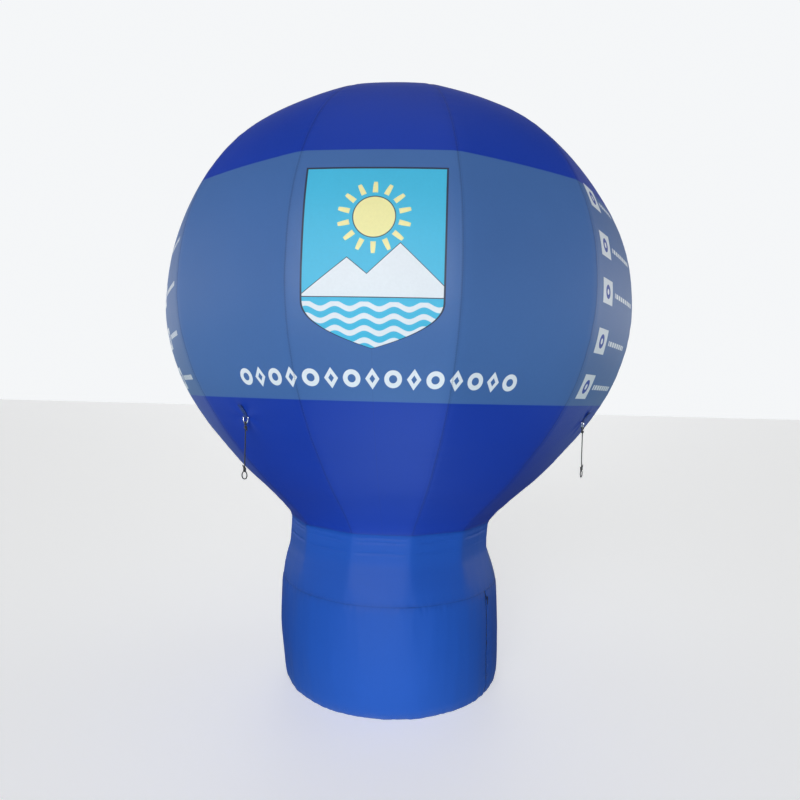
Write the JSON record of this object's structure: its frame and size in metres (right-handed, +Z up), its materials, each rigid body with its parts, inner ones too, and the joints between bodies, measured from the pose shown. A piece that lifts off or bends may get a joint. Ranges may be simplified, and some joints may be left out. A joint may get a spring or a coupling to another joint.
{
  "type": "inflatable advertising balloon on drum base",
  "caption": "Cold-air inflatable advertising balloon: a gored fabric globe narrowing into a neck on a drum base, with swinging tie rings and a blower behind a rear intake.",
  "frame": {"origin": "on the floor under the middle of the drum base", "axes": "+Z up, -Y towards the printed front, +X to the right as seen from the front"},
  "size_m": [2.7424, 2.7424, 3.5],
  "materials": {
    "envelope_fabric": "satin",
    "drum_fabric": "satin",
    "zip_tape": "matte",
    "webbing": "matte",
    "chromed_wire": "polished",
    "rope": "matte",
    "black_plastic": "matte",
    "grey_plastic": "satin",
    "painted_steel": "satin",
    "rubber": "matte"
  },
  "bodies": {
    "envelope_and_base": {"gore_01": "envelope_fabric", "gore_02": "envelope_fabric", "gore_03": "envelope_fabric", "gore_04": "envelope_fabric", "gore_05": "envelope_fabric", "gore_06": "envelope_fabric", "gore_07": "envelope_fabric", "gore_08": "envelope_fabric", "gore_09": "envelope_fabric", "gore_10": "envelope_fabric", "gore_11": "envelope_fabric", "gore_12": "envelope_fabric", "crown_patch": "envelope_fabric", "neck_skirt": "drum_fabric", "drum_wall": "drum_fabric", "drum_floor": "drum_fabric", "zip_closure": "zip_tape", "zip_slider": "chromed_wire", "tie_tab_front_left": "webbing", "tie_tab_front_right": "webbing", "tie_tab_rear_right": "webbing", "tie_tab_rear_left": "webbing", "intake_collar": "black_plastic", "intake_guard": "painted_steel", "blower_housing": "black_plastic", "blower_motor": "painted_steel", "blower_cradle": "painted_steel", "cable_grommet": "rubber"},
    "tie_ring_front_left": {"tie_ring_front_left": "chromed_wire", "guy_line_front_left": "rope"},
    "tie_ring_front_right": {"tie_ring_front_right": "chromed_wire", "guy_line_front_right": "rope"},
    "tie_ring_rear_right": {"tie_ring_rear_right": "chromed_wire", "guy_line_rear_right": "rope"},
    "tie_ring_rear_left": {"tie_ring_rear_left": "chromed_wire", "guy_line_rear_left": "rope"},
    "impeller": {"blower_impeller": "grey_plastic"}
  },
  "joints": [
    {"name": "ring_swing_front_left", "type": "hinge", "parent": "envelope_and_base", "child": "tie_ring_front_left", "pos_m": [-0.7072, -0.92871, 1.59572], "axis": [-0.8156, 0.5787, 0], "range_deg": [-25, 110]},
    {"name": "ring_swing_front_right", "type": "hinge", "parent": "envelope_and_base", "child": "tie_ring_front_right", "pos_m": [1.01755, -0.57624, 1.59572], "axis": [-0.5511, -0.8344, 0], "range_deg": [-25, 110]},
    {"name": "ring_swing_rear_right", "type": "hinge", "parent": "envelope_and_base", "child": "tie_ring_rear_right", "pos_m": [0.7072, 0.92871, 1.59572], "axis": [0.8156, -0.5787, 0], "range_deg": [-25, 110]},
    {"name": "ring_swing_rear_left", "type": "hinge", "parent": "envelope_and_base", "child": "tie_ring_rear_left", "pos_m": [-1.01755, 0.57624, 1.59572], "axis": [0.5511, 0.8344, 0], "range_deg": [-25, 110]},
    {"name": "impeller_spin", "type": "hinge", "parent": "envelope_and_base", "child": "impeller", "pos_m": [0, 0.49, 0.27], "axis": [0, 1, 0], "continuous": true}
  ]
}
